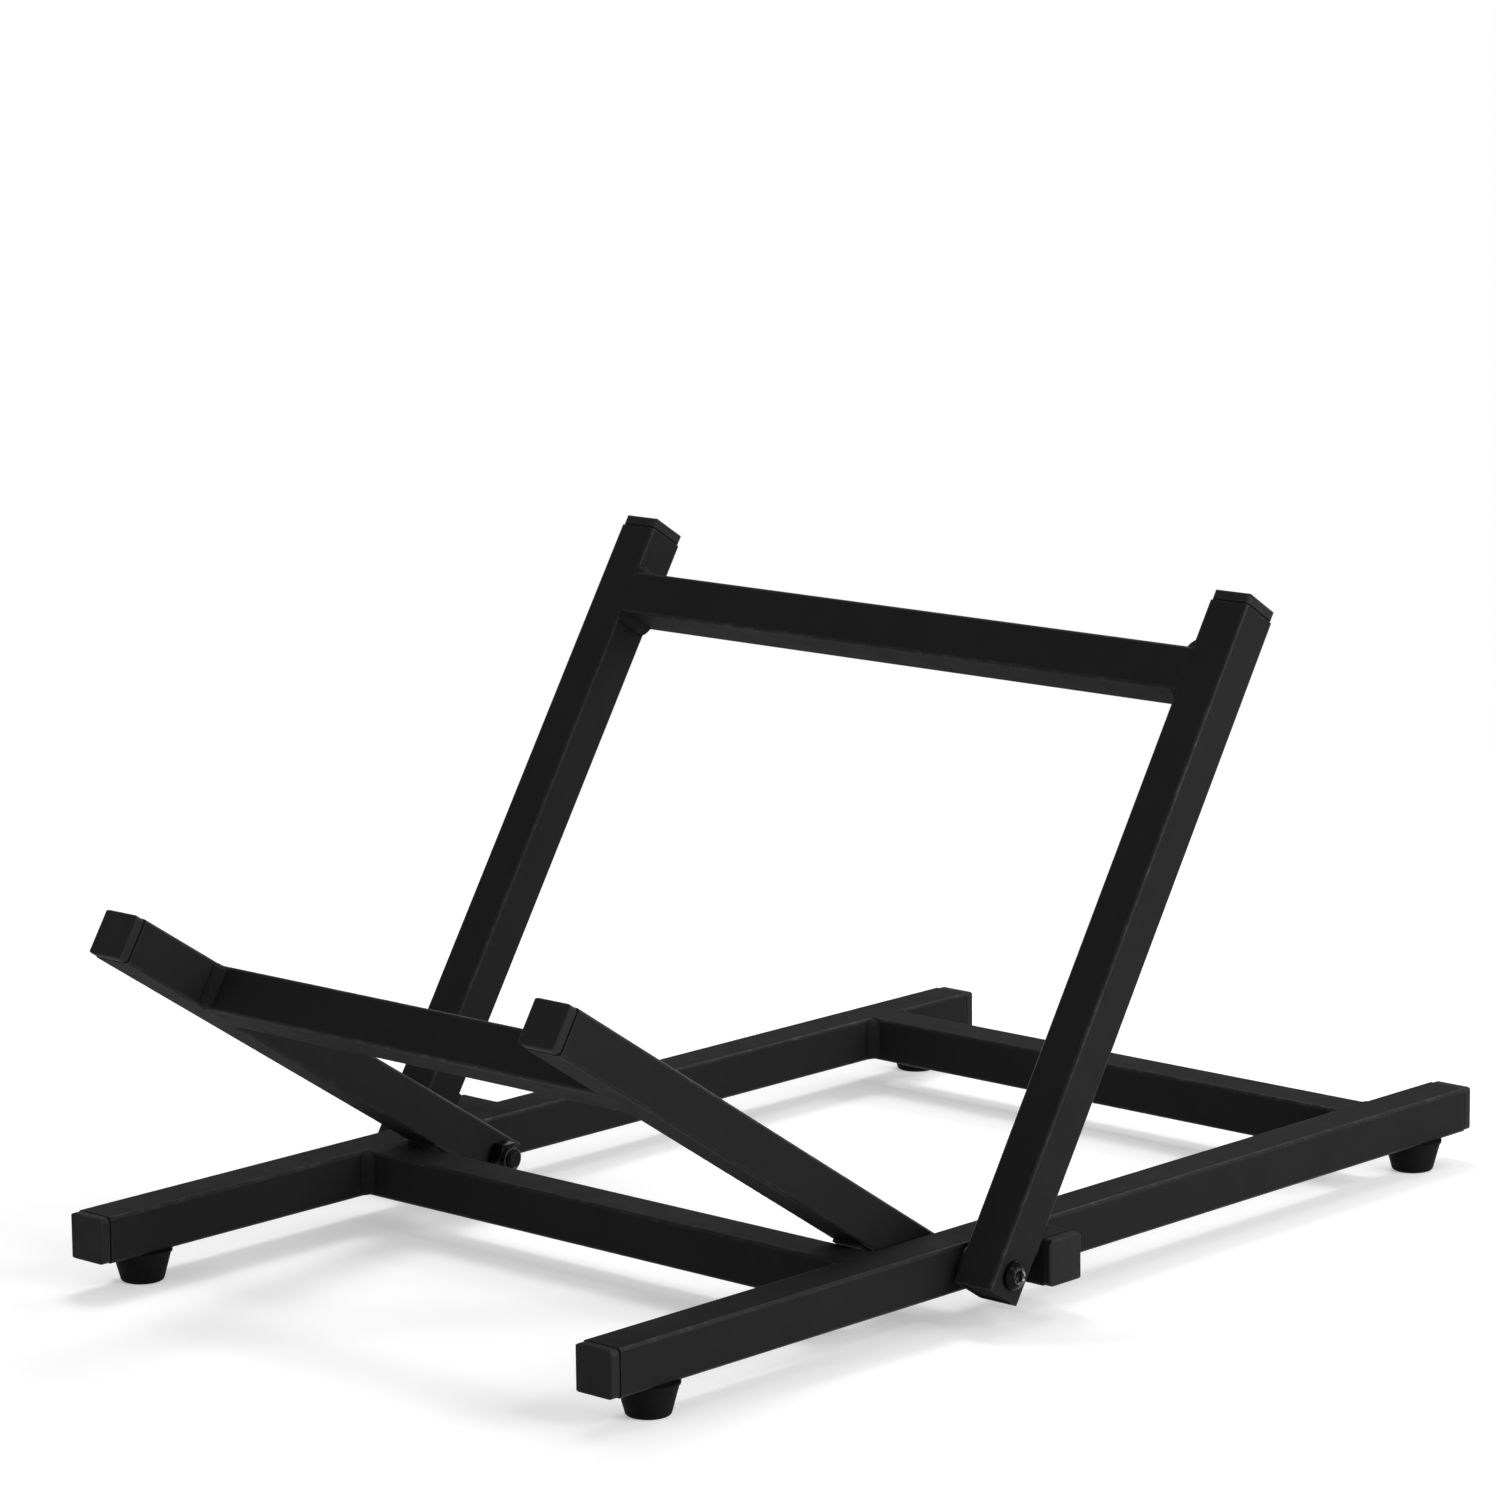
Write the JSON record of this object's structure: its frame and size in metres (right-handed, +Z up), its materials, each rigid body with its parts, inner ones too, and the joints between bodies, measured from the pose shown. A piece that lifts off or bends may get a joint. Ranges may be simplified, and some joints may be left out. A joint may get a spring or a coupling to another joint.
{
  "type": "folding amp stand",
  "caption": "Low tilt-back floor stand of square steel tube for a combo amplifier, with a sloping cradle and a backrest that both fold flat about one axis onto a rubber-footed base.",
  "frame": {"origin": "on the floor, under the middle of the part's outer box", "axes": "+X across the width to the right-hand side seen from the front, +Y from the front to the back, +Z up"},
  "size_m": [0.3662, 0.5552, 0.2815],
  "materials": {
    "painted_steel": "satin powder coat, near black",
    "cap_plastic": "fine matte",
    "plug_plastic": "matte",
    "washer_plastic": "smooth matte",
    "foot_rubber": "matte",
    "pad_rubber": "matte",
    "bolt_steel": "blackened, slightly glossy",
    "screw_steel": "blackened"
  },
  "bodies": {
    "base": {"left_rail": "painted_steel", "right_rail": "painted_steel", "front_crossbar": "painted_steel", "rear_crossbar": "painted_steel", "left_stop_stub": "painted_steel", "right_stop_stub": "painted_steel", "left_stop_cap": "cap_plastic", "right_stop_cap": "cap_plastic", "left_rail_front_cap": "cap_plastic", "right_rail_front_cap": "cap_plastic", "left_rail_rear_cap": "cap_plastic", "right_rail_rear_cap": "cap_plastic", "front_left_foot": "foot_rubber", "front_right_foot": "foot_rubber", "rear_left_foot": "foot_rubber", "rear_right_foot": "foot_rubber", "foot_screws": "screw_steel", "spacer_washers": "washer_plastic", "left_pivot_bolt": "bolt_steel", "right_pivot_bolt": "bolt_steel", "left_lock_nut": "bolt_steel", "right_lock_nut": "bolt_steel"},
    "cradle": {"left_arm": "painted_steel", "right_arm": "painted_steel", "cradle_crossbar": "painted_steel", "left_arm_cap": "cap_plastic", "right_arm_cap": "cap_plastic", "left_arm_plug": "plug_plastic", "right_arm_plug": "plug_plastic", "left_arm_pad": "pad_rubber", "right_arm_pad": "pad_rubber"},
    "backrest": {"left_upright": "painted_steel", "right_upright": "painted_steel", "backrest_crossbar": "painted_steel", "left_upright_cap": "cap_plastic", "right_upright_cap": "cap_plastic", "left_upright_plug": "plug_plastic", "right_upright_plug": "plug_plastic", "left_upright_pad": "pad_rubber", "right_upright_pad": "pad_rubber"}
  },
  "joints": [
    {"name": "cradle_fold", "type": "hinge", "parent": "base", "child": "cradle", "pos_m": [0, -0.06486, 0.0236], "axis": [-1, 0, 0], "range_deg": [0, 147.5]},
    {"name": "backrest_fold", "type": "hinge", "parent": "base", "child": "backrest", "pos_m": [0, -0.06486, 0.0236], "axis": [1, 0, 0], "range_deg": [0, 122.5]}
  ]
}
